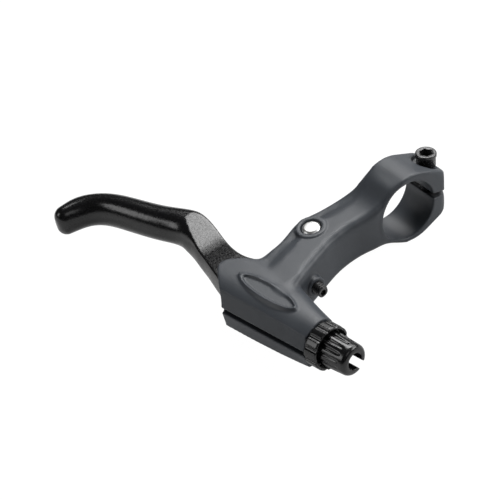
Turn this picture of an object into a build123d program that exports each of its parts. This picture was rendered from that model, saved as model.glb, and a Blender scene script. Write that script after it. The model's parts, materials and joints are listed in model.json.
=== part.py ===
"""Brake lever for a flat handlebar: a cast perch, a hooked blade on a pivot pin, and a slotted barrel.

Millimetres. The origin is the centre of the handlebar bore. X runs along the handlebar, inboard. Minus Y
is ahead of the bar, where the head is. Z is parallel to the pivot pin, and the perch and the blade are
centred on Z = 0.
"""

import os
from math import cos, radians, sin, sqrt

from build123d import *

os.makedirs("parts", exist_ok=True)

# Handlebar clamp
BAR_DIAMETER = 22.2
CLAMP_WIDTH = 15.0
CLAMP_WALL = 2.15
CLAMP_FRONT_WALL = 1.8
CLAMP_SETBACK = 1.9  # the ring's outer circle sits this far behind the bar axis
CLAMP_EDGE = 0.8
SPLIT_GAP = 2.0
SPLIT_TILT = 18.0  # degrees that the split falls towards the back
SPLIT_DROP = 1.0  # how far below the bar axis the split leaves the bore

# Clamp bolt, behind the bar
BOLT_DIAMETER = 5.0
BOLT_TILT = 9.5  # degrees that the bolt leans back from Z
BOLT_BAR_GAP = 0.4
BOLT_CLEARANCE = 0.2
BOLT_HEAD_DIAMETER = 7.4
BOLT_HEAD_HEIGHT = 4.9
BOLT_HEAD_EDGE = 0.5
BOLT_HEX = 4.0
BOLT_HEX_DEPTH = 2.6
BOLT_SEAT = 8.9  # the head's seat, along the bolt from the bar's level
BOLT_LENGTH = 16.5
SPOT_FACE_GAP = 1.4
EAR_WALL = 2.2
EAR_TOP = 11.0
EAR_BOTTOM = 9.4
EAR_ROUND = 9.0
EAR_SWEEP = 3.15  # how far the ear's back curves in to the clamp's sides, seen along the bolt
EAR_TRIM = 0.3  # the casting's back is swept off by at least this

# Lever pivot
PIVOT_X = -4.0
PIVOT_REACH = 32.0
PIN_DIAMETER = 5.0
PIN_HEAD_RIM = 0.75
PIN_HEAD_HEIGHT = 0.9
PIN_BEVEL = 0.55
PIN_BEVEL_WIDTH = 0.9
PIN_POCKET_GAP = 0.4
PIN_BOSS_WALL = 1.65
PIN_BOSS_RISE = 0.4  # above the spine
PIN_BOSS_DROP = 0.5  # below the neck
CLIP_THICKNESS = 0.6
CLIP_RIM = 2.0  # how far the clip reaches out from the pin
CLIP_BAND = 1.5
CLIP_LUG = 1.7
CLIP_MOUTH_GRIP = 0.8  # the clip's mouth is this much narrower than the pin
CLIP_GROOVE_DEPTH = 0.5
PIN_TAIL = 1.0
BUSH_WALL = 1.0
BUSH_RIM = 1.7  # the flange beyond the bush
BUSH_FLANGE = 0.6
BUSH_LENGTH = 4.2
FLANGE_GAP = 0.1
RUNNING_FIT = 0.05
SEAT_FIT = 0.02

# Neck, between the clamp and the head
NECK_FLANGE_WALL = 1.9  # over the blade's slot
NECK_SPINE_WALL = 2.8
NECK_BOTTOM_WALL = 2.3
NECK_BLEND = 24.0  # radius where the neck rises into the clamp ring
NECK_ROOT_LEFT = 8.6
NECK_ROOT_RIGHT = 7.2
NECK_WAIST_RIGHT = 6.2
NECK_BULGE_LEFT = 6.9  # outboard of the pivot
NECK_BULGE_RIGHT = 11.0  # inboard of the pivot
NECK_HEAD_LEFT = 7.1
NECK_HEAD_RIGHT = 14.4
NECK_END = 11.0  # the neck's last full slice, behind the barrel axis
NECK_TONGUE = 5.0  # its end inside the head, behind the barrel axis
NECK_INSET = 0.15  # inside the clamp ring's sides
NECK_CORNER = 2.4
FLANGE_CORNER = 1.4
SPINE_ROUND = 1.0
SPINE_SLOPE = 2.6  # width of the step up to the spine
SPINE_LEAST = 0.35
CHANNEL_GAP = 0.3  # between the blade and its slot, above and below
CHANNEL_WALL = 2.4
EYE_CLEARANCE = 0.6

# Head and barrel boss
BARREL_REACH = 65.1  # from the bar axis to the barrel axis, at X = 0
BARREL_TILT = 7.8  # degrees between the barrel axis and the bar
HEAD_WALL = 3.4  # in front of the blade's slot
HEAD_ROOF = 3.2
HEAD_RIDGE_WALL = 1.7
HEAD_LOW_RIDGE_WALL = 2.0
HEAD_END_ROUND = 4.0
HEAD_FRONT_ROUND = 3.0
HEAD_DEPTH = 15.0  # how far the head runs back from the barrel axis, under the neck
BOSS_WALL = 2.7
BOSS_FRONT_FLAT = 0.1
BOSS_END = 33.8
CABLE_SLOT = 1.8
CABLE_HOLE_DIAMETER = 5.0
CAVITY_GAP = 1.5  # inboard of the cable end's boss
CAVITY_FRONT_GAP = 1.05  # ahead of it
WINDOW_GAP = 1.25
PAD_LENGTH = 29.0
PAD_WIDTH = 8.4
PAD_ALONG = 10.0
PAD_BACK = 2.2
PAD_TURN = -3.3  # degrees from the barrel axis
PAD_RISE = 0.6
PAD_RIM = 1.2
PAD_SLOPE = 40.0
PAD_SUNK = 0.7
PAD_FLOOR_SLOPE = 20.0

# Barrel adjuster and lock ring
THREAD_DIAMETER = 10.0
THREAD_DEPTH = 12.0
BARREL_SHOULDER = 1.15
BARREL_TAPER = 0.7
BARREL_LENGTH = 13.1
BARREL_ROUND = 1.7
BARREL_GAP = 0.3
FLUTES = 14
FLUTE_RADIUS = 0.75
FLUTE_MARGIN = 3.0
HOUSING_DIAMETER = 6.1
HOUSING_DEPTH = 8.0
CABLE_BORE_DIAMETER = 3.0
BARREL_SLOT = 2.7
BARREL_SLOT_TURN = -55.0  # degrees about the barrel from plus Y
RING_WALL = 1.0
RING_LENGTH = 5.4
RING_GAP = 0.3
RING_LOBES = 12
RING_GROOVE_RADIUS = 1.0
RING_GROOVE_DEPTH = 0.6
RING_RECESS_GAP = 0.75  # round the barrel's grip
RING_RECESS_DEPTH = 3.0
RING_EDGE = 0.6
RING_SLOT_TURN = -75.0

# Reach screw, which sets how far the blade stands from the bar
REACH_AHEAD = 44.6  # ahead of the bar axis
REACH_DIAMETER = 4.2
REACH_STANDS_OUT = 3.4
REACH_HEX = 2.5
REACH_HEX_DEPTH = 2.2
REACH_TIP_GAP = 0.25
REACH_BOSS_WALL = 1.4
REACH_BOSS_X = 12.8
REACH_EDGE = 0.4

# Blade
BLADE_HALF = 5.0  # half the thickness of the flat crank and arm
EYE_WALL = 1.1  # round the bushes' flanges
ARM_LEFT = -6.2
ARM_RIGHT = 3.9
ARM_ELBOW = 12.5  # where the arm turns in to the cable end, behind the barrel axis
CRANK_BACK = 15.0  # the crank's back edge at the arm, behind the barrel axis
CRANK_FRONT = 2.2  # its front edge at the arm, ahead of the barrel axis
CRANK_NOSE = 3.2  # its front edge at the cable end
CRANK_NOSE_X = 2.0
NIPPLE_DIAMETER = 7.1
NIPPLE_WALL = 1.1
NIPPLE_ALONG = 6.5  # the cable end's place along the barrel axis
NIPPLE_BACK = 1.5
NIPPLE_ROOF = 2.0
NIPPLE_SLOT = 2.2
ARM_REST = 3.2  # half the flat that the reach screw bears on
BLADE_TALL = 6.5  # half the height of the oval blade
FACET_START = -24.0  # where the crank's flat faces start to rise to the blade's full height
FACET_END = -43.5
GRIP_START = -53.0  # where the blade's straight grip starts
GRIP_RUN = 13.4  # from there to the hook, along the bar
OVAL_FLAT = 0.2
TIP_ROUND = 3.6

BAR_R = BAR_DIAMETER / 2
CLAMP_R = BAR_R + CLAMP_WALL
BOLT_R = BOLT_DIAMETER / 2
BOLT_OFFSET = BAR_R + BOLT_BAR_GAP + BOLT_R
PIN_R = PIN_DIAMETER / 2
PIN_HEAD_R = PIN_R + PIN_HEAD_RIM
PIN_BOSS_R = PIN_HEAD_R + PIN_POCKET_GAP + PIN_BOSS_WALL
CLIP_R = PIN_R + CLIP_RIM
BUSH_R = PIN_R + BUSH_WALL
BUSH_FLANGE_R = BUSH_R + BUSH_RIM
EYE_R = BUSH_FLANGE_R + EYE_WALL
NIPPLE_R = NIPPLE_DIAMETER / 2
NIPPLE_BOSS_R = NIPPLE_R + NIPPLE_WALL
REACH_R = REACH_DIAMETER / 2
THREAD_R = THREAD_DIAMETER / 2
BOSS_R = THREAD_R + BOSS_WALL
BARREL_R = THREAD_R + BARREL_SHOULDER
BARREL_END_R = BARREL_R - BARREL_TAPER
HOUSING_R = HOUSING_DIAMETER / 2
CABLE_R = CABLE_BORE_DIAMETER / 2
RING_RECESS_R = BARREL_R + RING_RECESS_GAP
RING_R = RING_RECESS_R + RING_WALL
CHANNEL_HALF = BLADE_HALF + CHANNEL_GAP
NECK_FLANGE = CHANNEL_HALF + NECK_FLANGE_WALL
NECK_SPINE = CHANNEL_HALF + NECK_SPINE_WALL
NECK_BOTTOM = CHANNEL_HALF + NECK_BOTTOM_WALL
PIN_BOSS_TOP = NECK_SPINE + PIN_BOSS_RISE
PIN_BOSS_BOTTOM = NECK_BOTTOM + PIN_BOSS_DROP
HEAD_TOP = CHANNEL_HALF + HEAD_ROOF
HEAD_RIDGE = CHANNEL_HALF + HEAD_RIDGE_WALL
HEAD_LOW_RIDGE = CHANNEL_HALF + HEAD_LOW_RIDGE_WALL
PAD_TOP = HEAD_TOP + PAD_RISE
CAVITY_FRONT = NIPPLE_BOSS_R - NIPPLE_BACK + CAVITY_FRONT_GAP  # ahead of the barrel axis
HEAD_FRONT = CAVITY_FRONT + HEAD_WALL
TALL = 3 * CLAMP_R  # reaches past the whole part in any cut

lean = radians(BOLT_TILT)
# Along the bolt: z runs up the bolt and y points away from the bar.
bolt_plane = Plane(
    origin=(0, BOLT_OFFSET * cos(lean), -BOLT_OFFSET * sin(lean)),
    x_dir=(1, 0, 0),
    z_dir=(0, sin(lean), cos(lean)),
)
tilt = radians(BARREL_TILT)
# The head seen from above: x runs along the barrel and y points back towards the bar.
head_plane = Plane(origin=(0, -BARREL_REACH, 0), x_dir=(cos(tilt), sin(tilt), 0), z_dir=(0, 0, 1))
barrel_axis = Axis(head_plane.origin, head_plane.x_dir)
pivot_plane = Plane(origin=(PIVOT_X, -PIVOT_REACH, 0))
nipple = head_plane.from_local_coords(Vector(NIPPLE_ALONG, NIPPLE_BACK, 0))
ring_start = BOSS_END + RING_GAP
ring_end = ring_start + RING_LENGTH
body_start = ring_end - RING_RECESS_DEPTH + BARREL_GAP
barrel_end = body_start + BARREL_LENGTH
thread_start = BOSS_END - THREAD_DEPTH
flange_face = CHANNEL_HALF - FLANGE_GAP
flange_seat = flange_face - BUSH_FLANGE
pin_seat = PIN_BOSS_TOP - PIN_HEAD_HEIGHT - PIN_BEVEL
reach_tip = ARM_RIGHT + REACH_TIP_GAP
reach_end = REACH_BOSS_X + REACH_STANDS_OUT


def mix(start, end, share):
    return start + (end - start) * share


def across_barrel(along, turn=0.0):
    """The plane square to the barrel axis, with x towards the bar and y up, turned about the barrel."""
    spin = radians(turn)
    return Plane(
        origin=head_plane.from_local_coords(Vector(along, 0, 0)),
        x_dir=head_plane.y_dir * cos(spin) + head_plane.z_dir * sin(spin),
        z_dir=head_plane.x_dir,
    )


def rising_height(height, reach):
    """Height of the neck at a distance from the bar: level, then a hollow arc up onto the clamp ring."""
    ring_r = BAR_R + CLAMP_FRONT_WALL
    arc_reach = sqrt((ring_r + NECK_BLEND) ** 2 - (height + NECK_BLEND) ** 2)
    if reach >= arc_reach:
        return height
    if reach >= arc_reach * ring_r / (ring_r + NECK_BLEND):
        return height + NECK_BLEND - sqrt(NECK_BLEND**2 - (arc_reach - reach) ** 2)
    return sqrt(ring_r**2 - reach**2) - CLAMP_FRONT_WALL / 6


def neck_section(reach, left, right, shoulder):
    """One slice of the neck: a low flange outboard, a raised spine and a rounded inboard edge."""
    flange = rising_height(NECK_FLANGE, reach)
    spine = max(rising_height(NECK_SPINE, reach), flange + SPINE_LEAST)
    bottom = rising_height(NECK_BOTTOM, reach)
    corners = {
        (left, -bottom): NECK_CORNER,
        (left, flange): FLANGE_CORNER,
        (shoulder - SPINE_SLOPE / 2, flange): SPINE_ROUND,
        (shoulder + SPINE_SLOPE / 2, spine): SPINE_ROUND,
        (right, spine): NECK_CORNER,
        (right, -bottom): NECK_CORNER,
    }
    with BuildSketch(Plane(origin=(0, -reach, 0), x_dir=(1, 0, 0), z_dir=(0, -1, 0))) as section:
        with BuildLine():
            Polyline(*corners, close=True)
        make_face()
        for (x, y), radius in corners.items():
            fillet(section.vertices().sort_by_distance((x, y, 0))[0], radius)
    return section.sketch


def head_section(along, front, back, top, top_back, ridge, low_ridge, ridge_back, low_back):
    """One slice of the head: a leaning front face above and below, and rounded top, back and underside."""
    with BuildSketch(across_barrel(along)) as section:
        with BuildLine():
            upper = (-front + ridge_back, ridge)
            lower = (-front + low_back, -low_ridge)
            Line((-front, 0), upper)
            Spline(upper, (top_back, top), (back, 0), tangents=((1, 0.45), (0, -1)))
            Spline((back, 0), (top_back, -top), lower, tangents=((0, -1), (-1, 0.45)))
            Line(lower, (-front, 0))
        make_face()
    return section.sketch


ring_half = CLAMP_WIDTH / 2 - NECK_INSET
root = CLAMP_R * 1.13
head_reach = BARREL_REACH - NECK_END
bulge_left = PIVOT_X - NECK_BULGE_LEFT
bulge_right = PIVOT_X + NECK_BULGE_RIGHT
head_left = -NECK_HEAD_LEFT
head_right = NECK_HEAD_RIGHT


def at_root(share):
    """A distance from the bar, as a share of the way from the ring to the pivot."""
    return mix(root, PIVOT_REACH, share)


def at_head(share):
    """A distance from the bar, as a share of the way from the pivot to the head."""
    return mix(PIVOT_REACH, head_reach, share)


# The neck's slices from inside the clamp ring to under the head
# Each gives its distance from the bar, its outboard and inboard edges, and the shoulder of the spine.
neck_slices = [
    (CLAMP_R * 0.23, -ring_half, ring_half, -3.0),
    (CLAMP_R * 0.53, -ring_half, ring_half, -3.2),
    (CLAMP_R * 0.80, -ring_half - 0.3, ring_half, -3.4),
    (root, -NECK_ROOT_LEFT, NECK_ROOT_RIGHT, -3.7),
    (at_root(0.32), mix(-NECK_ROOT_LEFT, bulge_left, 0.3), NECK_WAIST_RIGHT + 0.2, -4.3),
    (at_root(0.65), mix(-NECK_ROOT_LEFT, bulge_left, 0.62), NECK_WAIST_RIGHT, -5.0),
    (PIVOT_REACH, bulge_left, bulge_right, -4.6),
    (at_head(0.25), mix(bulge_left, head_left, 0.38), mix(bulge_right, head_right, 0.22), -3.6),
    (at_head(0.5), mix(bulge_left, head_left, 0.85), mix(bulge_right, head_right, 0.46), -2.4),
    (at_head(0.73), head_left, mix(bulge_right, head_right, 0.7), -1.2),
    (head_reach, head_left, head_right, 0.2),
    (BARREL_REACH - NECK_TONGUE, head_left, head_right + 1.5, 1.6),
]

# The head's slices along the barrel, down to the round boss
# Each gives its place, front, back, top and where that is, then the front's two ridges and their setbacks.
boss_front = BOSS_R - BOSS_FRONT_FLAT
waist = BOSS_END * 0.65
waist_back = mix(HEAD_DEPTH, BOSS_R, 0.55)
waist_top = mix(HEAD_TOP, BOSS_R, 0.4)
head_slices = [
    (-17.0, HEAD_FRONT, HEAD_DEPTH + 0.5, HEAD_TOP, 4.0, HEAD_RIDGE + 0.3, HEAD_LOW_RIDGE, 2.6, 0.7),
    (8.0, HEAD_FRONT, HEAD_DEPTH, HEAD_TOP, 4.0, HEAD_RIDGE, HEAD_LOW_RIDGE, 2.7, 0.7),
    (waist, HEAD_FRONT, waist_back, waist_top, 1.6, HEAD_RIDGE - 0.4, HEAD_LOW_RIDGE - 0.3, 2.8, 0.9),
    (BOSS_END, boss_front, BOSS_R, BOSS_R, 0.2, BOSS_R * 0.78, BOSS_R * 0.84, 2.75, 1.4),
]
# The head's outline seen from above, along the barrel and back from it; only the left end is shaped
head_plan = [(-4.2, -9.0), (-4.4, -6.2), (-15.2, 3.6), (-4.6, 14.0), (-4.6, 20.0), (40.0, 20.0), (40.0, -9.0)]

# The blade's slot seen from above: round the eye, along the inboard wall, and behind the head's front wall
cavity_end = NIPPLE_ALONG + NIPPLE_BOSS_R + CAVITY_GAP
cavity_corner = head_plane.from_local_coords(Vector(cavity_end, -CAVITY_FRONT, 0))
cavity_left = head_plane.from_local_coords(Vector(-TALL, -CAVITY_FRONT, 0))
channel_plan = [
    (-TALL, -PIVOT_REACH + EYE_R + EYE_CLEARANCE),
    (PIVOT_X, -PIVOT_REACH + EYE_R + EYE_CLEARANCE),
    (PIVOT_X + EYE_R + EYE_CLEARANCE, -PIVOT_REACH),
    *[(right - CHANNEL_WALL, -reach) for reach, _, right, _ in neck_slices[7:11]],
    (cavity_corner.X, -head_reach),
    (cavity_corner.X, cavity_corner.Y),
    (cavity_left.X, cavity_left.Y),
]


def head_form():
    """The head's block: its slices joined, with the left end trimmed to its outline."""
    with BuildPart() as head:
        loft([head_section(*row) for row in head_slices])
        with BuildSketch(head_plane.offset(-TALL / 2)) as plan:
            with BuildLine():
                Polyline(*head_plan, close=True)
            make_face()
            fillet(plan.vertices().sort_by_distance((*head_plan[2], 0))[0], HEAD_END_ROUND)
            fillet(plan.vertices().sort_by_distance((*head_plan[1], 0))[0], HEAD_FRONT_ROUND)
        extrude(amount=TALL, mode=Mode.INTERSECT)
    return head.part


with BuildPart() as perch:
    # Clamp ring, thicker behind the bar where the ear takes the bolt
    with BuildSketch(Plane.YZ.offset(-CLAMP_WIDTH / 2)):
        Circle(BAR_R + CLAMP_FRONT_WALL)
        with Locations((CLAMP_SETBACK, 0)):
            Circle(CLAMP_R)
        ear_back = BOLT_OFFSET + BOLT_R + EAR_WALL + EAR_TRIM - EAR_ROUND
        for up in (EAR_TOP - EAR_ROUND, EAR_ROUND - EAR_BOTTOM):
            with Locations((ear_back * cos(lean) + up * sin(lean), up * cos(lean) - ear_back * sin(lean))):
                Circle(EAR_ROUND)
        make_hull()
    extrude(amount=CLAMP_WIDTH)
    with BuildSketch(bolt_plane.offset(-TALL / 2)):
        sweep_r = ((CLAMP_WIDTH / 2) ** 2 + EAR_SWEEP**2) / (2 * EAR_SWEEP)
        with Locations((0, BOLT_R + EAR_WALL - sweep_r)):
            Rectangle(TALL, TALL, align=(Align.CENTER, Align.MIN))
            Circle(sweep_r, mode=Mode.SUBTRACT)
    extrude(amount=TALL, mode=Mode.SUBTRACT)
    fillet(perch.faces().filter_by(Axis.X).edges(), CLAMP_EDGE)

    # Neck, then the head with its left end shaped in plan
    loft([neck_section(*row) for row in neck_slices])
    add(head_form())

    # Raised boss round the pivot pin, a rim round the reach screw, and the oval pad on the head
    with BuildSketch(pivot_plane.offset(-PIN_BOSS_BOTTOM)):
        Circle(PIN_BOSS_R)
    extrude(amount=PIN_BOSS_TOP + PIN_BOSS_BOTTOM)
    with BuildSketch(Plane(origin=(ARM_RIGHT, -REACH_AHEAD, 0), x_dir=(0, 1, 0), z_dir=(1, 0, 0))):
        Circle(REACH_R + REACH_BOSS_WALL)
    extrude(amount=REACH_BOSS_X - ARM_RIGHT)
    with BuildSketch(head_plane.offset(PAD_TOP - PAD_RIM * 1.5)):
        with Locations(Location((PAD_ALONG, PAD_BACK, 0), (0, 0, PAD_TURN))):
            Ellipse(PAD_LENGTH / 2 + PAD_RIM / 2, PAD_WIDTH / 2 + PAD_RIM / 2)
    extrude(amount=PAD_RIM * 1.5, taper=PAD_SLOPE)
    with BuildSketch(head_plane.offset(PAD_TOP - PAD_SUNK)):
        with Locations(Location((PAD_ALONG + PAD_RIM / 2, PAD_BACK, 0), (0, 0, PAD_TURN))):
            Ellipse(PAD_LENGTH / 2 - PAD_RIM * 2, PAD_WIDTH / 2 - PAD_RIM * 1.5)
    extrude(amount=PAD_SUNK * 2, taper=-PAD_FLOOR_SLOPE, mode=Mode.SUBTRACT)

    # Bar bore, the split that lets the clamp close, and the bolt's hole and seat
    with BuildSketch(Plane.YZ.offset(-CLAMP_WIDTH)):
        Circle(BAR_R)
        with Locations(Location((BAR_R, -SPLIT_DROP, 0), (0, 0, -SPLIT_TILT))):
            Rectangle(TALL, SPLIT_GAP, align=(Align.CENTER, Align.CENTER))
        with Locations((-TALL / 2, 0)):
            Rectangle(TALL, TALL, mode=Mode.SUBTRACT)
        Circle(BAR_R)
    extrude(amount=CLAMP_WIDTH * 2, mode=Mode.SUBTRACT)
    with BuildSketch(bolt_plane.offset(-TALL / 2)):
        Circle(BOLT_R + SEAT_FIT)
    extrude(amount=TALL, mode=Mode.SUBTRACT)
    with BuildSketch(bolt_plane):
        Circle(BOLT_R + BOLT_CLEARANCE)
    extrude(amount=TALL, mode=Mode.SUBTRACT)
    with BuildSketch(bolt_plane.offset(BOLT_SEAT)):
        Circle(BOLT_HEAD_DIAMETER / 2 + SPOT_FACE_GAP)
    extrude(amount=TALL, mode=Mode.SUBTRACT)

    # The slot that the blade's arm and crank swing in, open outboard
    with BuildSketch(Plane.XY.offset(-CHANNEL_HALF)):
        with BuildLine():
            Polyline(*channel_plan, close=True)
        make_face()
        with Locations(pivot_plane.origin):
            Circle(EYE_R + EYE_CLEARANCE)
    extrude(amount=CHANNEL_HALF * 2, mode=Mode.SUBTRACT)

    # Pivot hole and the pocket for the pin's head
    with BuildSketch(pivot_plane.offset(-TALL / 2)):
        Circle(PIN_R + SEAT_FIT)
    extrude(amount=TALL, mode=Mode.SUBTRACT)
    with BuildSketch(pivot_plane.offset(pin_seat)):
        Circle(PIN_HEAD_R + PIN_POCKET_GAP)
    extrude(amount=TALL, mode=Mode.SUBTRACT)

    # The cable's way in: a slot along the front, the barrel's bore, and a window under the cable end
    with BuildSketch(head_plane.offset(-CABLE_SLOT / 2)):
        with Locations((-TALL / 2, 0)):
            Rectangle(TALL * 2, TALL, align=(Align.MIN, Align.MAX))
    extrude(amount=CABLE_SLOT, mode=Mode.SUBTRACT)
    with BuildSketch(across_barrel(NIPPLE_ALONG)):
        Circle(CABLE_HOLE_DIAMETER / 2)
    extrude(amount=TALL, mode=Mode.SUBTRACT)
    with BuildSketch(across_barrel(thread_start - BARREL_GAP)):
        Circle(THREAD_R + RUNNING_FIT)
    extrude(amount=TALL, mode=Mode.SUBTRACT)
    with BuildSketch(Plane.XY.offset(-TALL / 2)):
        with Locations(nipple):
            Circle(NIPPLE_R + WINDOW_GAP)
    extrude(amount=TALL / 2, mode=Mode.SUBTRACT)

    # Hole for the reach screw
    with BuildSketch(Plane(origin=(ARM_RIGHT, -REACH_AHEAD, 0), x_dir=(0, 1, 0), z_dir=(1, 0, 0))):
        Circle(REACH_R + RUNNING_FIT)
    extrude(amount=TALL, mode=Mode.SUBTRACT)
perch.part.label = "perch"
export_step(perch.part, "parts/perch.step")


def blade_section(x, crest, heading, front, back, height, corner):
    """One slice of the blade, square to its run: an oval front, flat sides, and a back with rounded corners.

    The crest is where the oval front ends, behind the barrel axis. The heading turns from minus X towards
    minus Y. A corner as large as the back makes the slice an oval all round.
    """
    turn = radians(heading)
    flat = max(back - corner, OVAL_FLAT)
    wall = max(height - corner * height / back, OVAL_FLAT) if corner > back / 2 else height - corner
    round_back, round_up = back - flat, height - wall
    place = Plane(
        origin=(x, crest - BARREL_REACH, 0),
        x_dir=(sin(turn), -cos(turn), 0),
        z_dir=(-cos(turn), -sin(turn), 0),
    )
    with BuildSketch(place) as section:
        with BuildLine():
            EllipticalCenterArc((0, 0), front, height, start_angle=0, arc_size=90)
            Line((0, height), (-flat, height))
            EllipticalCenterArc((-flat, wall), round_back, round_up, start_angle=90, arc_size=90)
            Line((-back, wall), (-back, -wall))
            EllipticalCenterArc((-flat, -wall), round_back, round_up, start_angle=180, arc_size=90)
            Line((-flat, -height), (0, -height))
            EllipticalCenterArc((0, 0), front, height, start_angle=270, arc_size=90)
        make_face()
    return section.sketch


# The blade's slices from inside the head out to the hooked tip
hook_x = GRIP_START - GRIP_RUN
blade_slices = [
    (-6.0, -2.6, 0.0, 0.6, 17.6, BLADE_HALF, 1.0),
    (-10.0, -1.9, 0.0, 0.6, 14.8, BLADE_HALF, 1.0),
    (-14.0, -0.95, 0.0, 0.6, 12.45, BLADE_HALF, 1.0),
    (-18.0, 0.05, -2.0, 0.7, 11.1, BLADE_HALF, 1.0),
    (-23.0, 1.5, -6.0, 0.9, 9.9, BLADE_HALF + 0.3, 1.0),
    (-28.0, 3.0, -9.0, 1.5, 9.25, BLADE_TALL - 0.7, 1.0),
    (-33.0, 5.1, -9.0, 2.6, 8.25, BLADE_TALL - 0.3, 1.2),
    (-38.0, 7.5, -4.0, 4.5, 6.75, BLADE_TALL, 1.7),
    (-42.5, 9.0, 8.0, 5.9, 5.6, BLADE_TALL, 2.8),
    (-47.0, 8.3, 19.0, 6.1, 5.3, BLADE_TALL, 4.2),
    (GRIP_START, 5.5, 22.5, 5.7, 5.5, BLADE_TALL, 5.5),
    (hook_x, 0.2, 22.5, 5.2, 5.2, BLADE_TALL, 5.2),
    (hook_x - 7.1, -2.9, 28.0, 4.9, 4.9, BLADE_TALL - 0.2, 4.9),
    (hook_x - 12.2, -7.1, 50.0, 4.8, 4.8, BLADE_TALL - 0.5, 4.8),
    (hook_x - 14.8, -12.4, 70.0, 4.8, 4.8, BLADE_TALL - 0.7, 4.8),
    (hook_x - 16.0, -20.2, 80.0, 4.4, 4.4, BLADE_TALL - 1.3, 4.4),
]
# The arm and crank seen from above
arm_plan = [
    (PIVOT_X - EYE_R * 0.72, -PIVOT_REACH - EYE_R * 0.5),
    (ARM_LEFT, -REACH_AHEAD + 0.6),
    (ARM_LEFT, ARM_ELBOW - BARREL_REACH),
    (nipple.X, nipple.Y),
    (nipple.X + NIPPLE_BOSS_R, nipple.Y),
    (ARM_RIGHT, -REACH_AHEAD - ARM_REST),
    (ARM_RIGHT, -REACH_AHEAD + ARM_REST),
    (PIVOT_X + EYE_R * 0.98, -PIVOT_REACH),
]
crank_plan = [
    (nipple.X, nipple.Y + NIPPLE_R),
    (ARM_LEFT, CRANK_BACK - BARREL_REACH),
    (ARM_LEFT, -CRANK_FRONT - BARREL_REACH),
    (CRANK_NOSE_X, -CRANK_NOSE - BARREL_REACH),
    (nipple.X, nipple.Y - NIPPLE_BOSS_R),
]

with BuildPart() as lever_blade:
    # Forged blade, flat-sided at the crank and oval along the grip, with a blunt rounded tip
    loft([blade_section(*row) for row in blade_slices])
    fillet(lever_blade.faces().sort_by(Axis.X)[0].edges(), TIP_ROUND)
    # The crank's flat faces, which rise until they run out on the oval at the elbow
    for side in (1, -1):
        with BuildSketch(Plane.XZ):
            with BuildLine():
                Polyline(
                    (TALL, side * BLADE_HALF),
                    (FACET_START, side * BLADE_HALF),
                    (FACET_END, side * BLADE_TALL),
                    (mix(FACET_START, FACET_END, 2), side * mix(BLADE_HALF, BLADE_TALL, 2)),
                    (TALL, side * TALL),
                    close=True,
                )
            make_face()
        extrude(amount=BARREL_REACH * 2, mode=Mode.SUBTRACT)
    # Crank, arm and eye
    with BuildSketch(Plane.XY.offset(-BLADE_HALF)) as plate:
        with Locations(pivot_plane.origin):
            Circle(EYE_R)
        with Locations(nipple):
            Circle(NIPPLE_BOSS_R)
        for outline in (arm_plan, crank_plan):
            with BuildLine():
                Polyline(*outline, close=True)
            make_face()
    extrude(amount=BLADE_HALF * 2)
    # Eye bored for the bushes, with a seat for each flange
    with BuildSketch(pivot_plane.offset(-TALL / 2)):
        Circle(BUSH_R)
    extrude(amount=TALL, mode=Mode.SUBTRACT)
    for side in (1, -1):
        with BuildSketch(pivot_plane.offset(side * flange_seat)):
            Circle(BUSH_FLANGE_R + RUNNING_FIT)
        extrude(amount=side * TALL, mode=Mode.SUBTRACT)
    # Pocket for the cable's end, open below, and the slot that its cable lies in
    with BuildSketch(Plane.XY.offset(-BLADE_HALF)):
        with Locations(nipple):
            Circle(NIPPLE_R)
    extrude(amount=BLADE_HALF * 2 - NIPPLE_ROOF, mode=Mode.SUBTRACT)
    with BuildSketch(head_plane.offset(-BLADE_HALF)):
        with Locations((NIPPLE_ALONG, 0)):
            Rectangle(TALL, NIPPLE_SLOT, align=(Align.MIN, Align.CENTER))
    extrude(amount=BLADE_HALF + NIPPLE_SLOT / 2, mode=Mode.SUBTRACT)
lever_blade.part.label = "lever_blade"
export_step(lever_blade.part, "parts/lever_blade.step")

with BuildPart() as upper_bush:
    with BuildSketch(pivot_plane.offset(flange_seat)):
        Circle(BUSH_FLANGE_R)
    extrude(amount=BUSH_FLANGE)
    with BuildSketch(pivot_plane.offset(flange_face - BUSH_LENGTH)):
        Circle(BUSH_R)
    extrude(amount=BUSH_LENGTH)
    with BuildSketch(pivot_plane):
        Circle(PIN_R + RUNNING_FIT)
    extrude(amount=TALL, mode=Mode.SUBTRACT)
upper_bush.part.label = "upper_bush"
export_step(upper_bush.part, "parts/upper_bush.step")

with BuildPart() as lower_bush:
    with BuildSketch(pivot_plane.offset(-flange_face)):
        Circle(BUSH_FLANGE_R)
    extrude(amount=BUSH_FLANGE)
    with BuildSketch(pivot_plane.offset(-flange_face)):
        Circle(BUSH_R)
    extrude(amount=BUSH_LENGTH)
    with BuildSketch(pivot_plane):
        Circle(PIN_R + RUNNING_FIT)
    extrude(amount=-TALL, mode=Mode.SUBTRACT)
lower_bush.part.label = "lower_bush"
export_step(lower_bush.part, "parts/lower_bush.step")

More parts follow.
